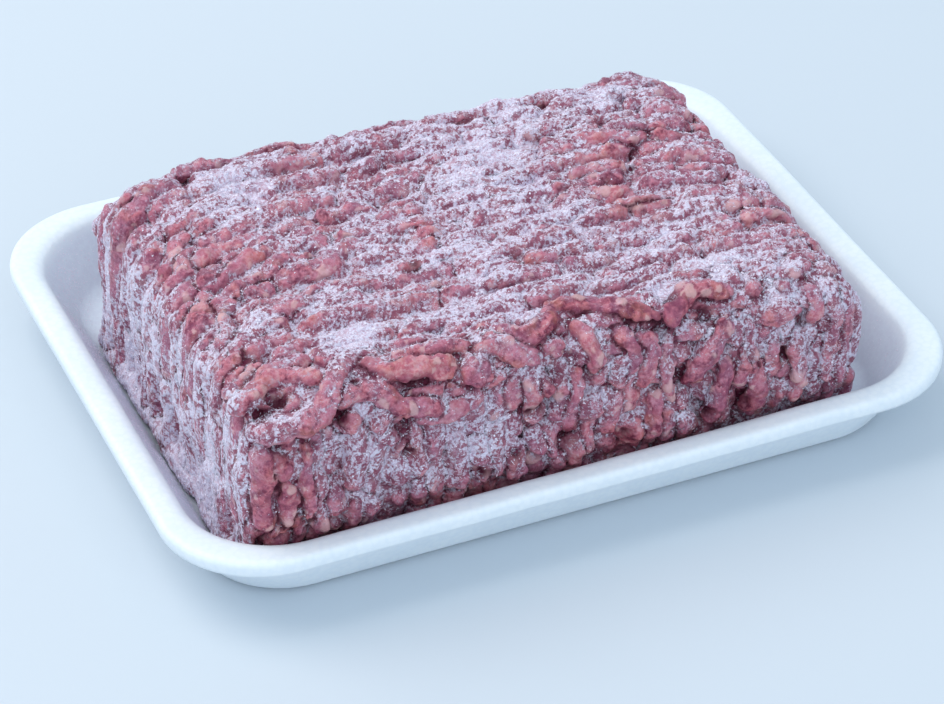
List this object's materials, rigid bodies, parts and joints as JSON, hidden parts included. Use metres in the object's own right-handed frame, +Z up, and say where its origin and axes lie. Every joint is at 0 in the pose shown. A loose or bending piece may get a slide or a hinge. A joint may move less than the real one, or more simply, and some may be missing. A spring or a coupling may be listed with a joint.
{
  "type": "frozen minced meat pack",
  "caption": "Frozen block of minced meat strands in a shallow white foam tray with a rolled rim and round corners.",
  "frame": {"origin": "centre of the tray's footprint, on the table under the base", "axes": "+X along the tray's long side and the strands on top, +Y across it towards the back, +Z up"},
  "size_m": [0.225, 0.18, 0.0627],
  "materials": {
    "foam": "white expanded polystyrene foam with a fine bead texture and a smooth skin",
    "mince": "frozen raw mince, dark pink-red strands with cream fat, dusted with white frost crystals"
  },
  "bodies": {
    "root": {"tray": "foam", "meat": "mince"}
  },
  "joints": []
}
